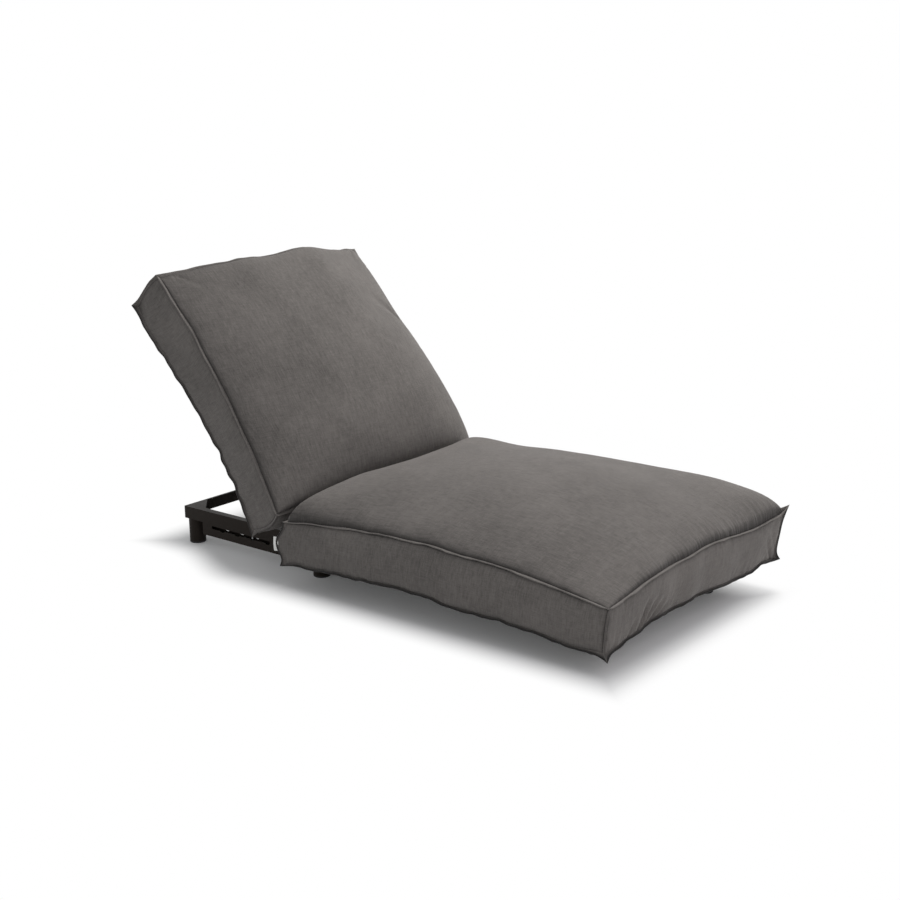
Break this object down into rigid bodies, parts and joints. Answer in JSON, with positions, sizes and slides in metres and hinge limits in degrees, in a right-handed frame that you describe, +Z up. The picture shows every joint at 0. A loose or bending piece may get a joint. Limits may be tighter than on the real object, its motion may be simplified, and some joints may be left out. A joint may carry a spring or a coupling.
{
  "type": "adjustable relaxation lounger",
  "caption": "Low spa lounger on short round legs, with thick flanged box cushions and a tilting back propped by a strut whose rod rests in notched slots in the side rails.",
  "frame": {"origin": "on the floor, under the middle of the whole lounger's outline", "axes": "+X to the right seen from the foot end, +Y from the foot end to the head end, +Z up"},
  "size_m": [0.97, 1.854, 0.9522],
  "materials": {
    "frame": "satin",
    "steel": "satin",
    "plastic": "matte",
    "hook": "matte",
    "cover": "matte",
    "label": "matte"
  },
  "bodies": {
    "base": {"side_rail_left": "frame", "side_rail_right": "frame", "head_bar": "frame", "foot_bar": "frame", "cross_tubes": "frame", "corner_gussets": "frame", "corner_leg_plates": "frame", "mid_leg_plates": "frame", "legs": "frame", "leg_glides": "plastic", "leg_bolts": "steel", "seat_slats": "frame", "seat_hook_strips": "hook", "hinge_bolts": "steel", "hinge_nuts": "steel", "seat_cushion": "cover", "seat_label": "label"},
    "back": {"hinge_plates": "frame", "hinge_bushes": "plastic", "back_tube_left": "frame", "back_tube_right": "frame", "back_top_tube": "frame", "back_bottom_tube": "frame", "tube_caps": "plastic", "back_slats": "frame", "back_hook_strips": "hook", "pivot_bolts": "steel", "pivot_nuts": "steel", "pivot_washers": "steel", "back_cushion": "cover"},
    "strut": {"strut_arm_left": "frame", "strut_arm_right": "frame", "strut_brace": "frame", "strut_rod": "steel", "pivot_bushes": "plastic", "rod_sleeves": "plastic"}
  },
  "joints": [
    {"name": "back_tilt", "type": "hinge", "parent": "base", "child": "back", "pos_m": [0, 0.42103, 0.075], "axis": [1, 0, 0], "range_deg": [-47.7, 6.5]},
    {"name": "strut_swing", "type": "hinge", "parent": "back", "child": "strut", "pos_m": [0, 0.49405, 0.23183], "axis": [1, 0, 0], "range_deg": [-13.1, 95.6]}
  ],
  "couplings": [
    {"joint": "strut_swing", "follows": "back_tilt", "ratio": -2}
  ]
}
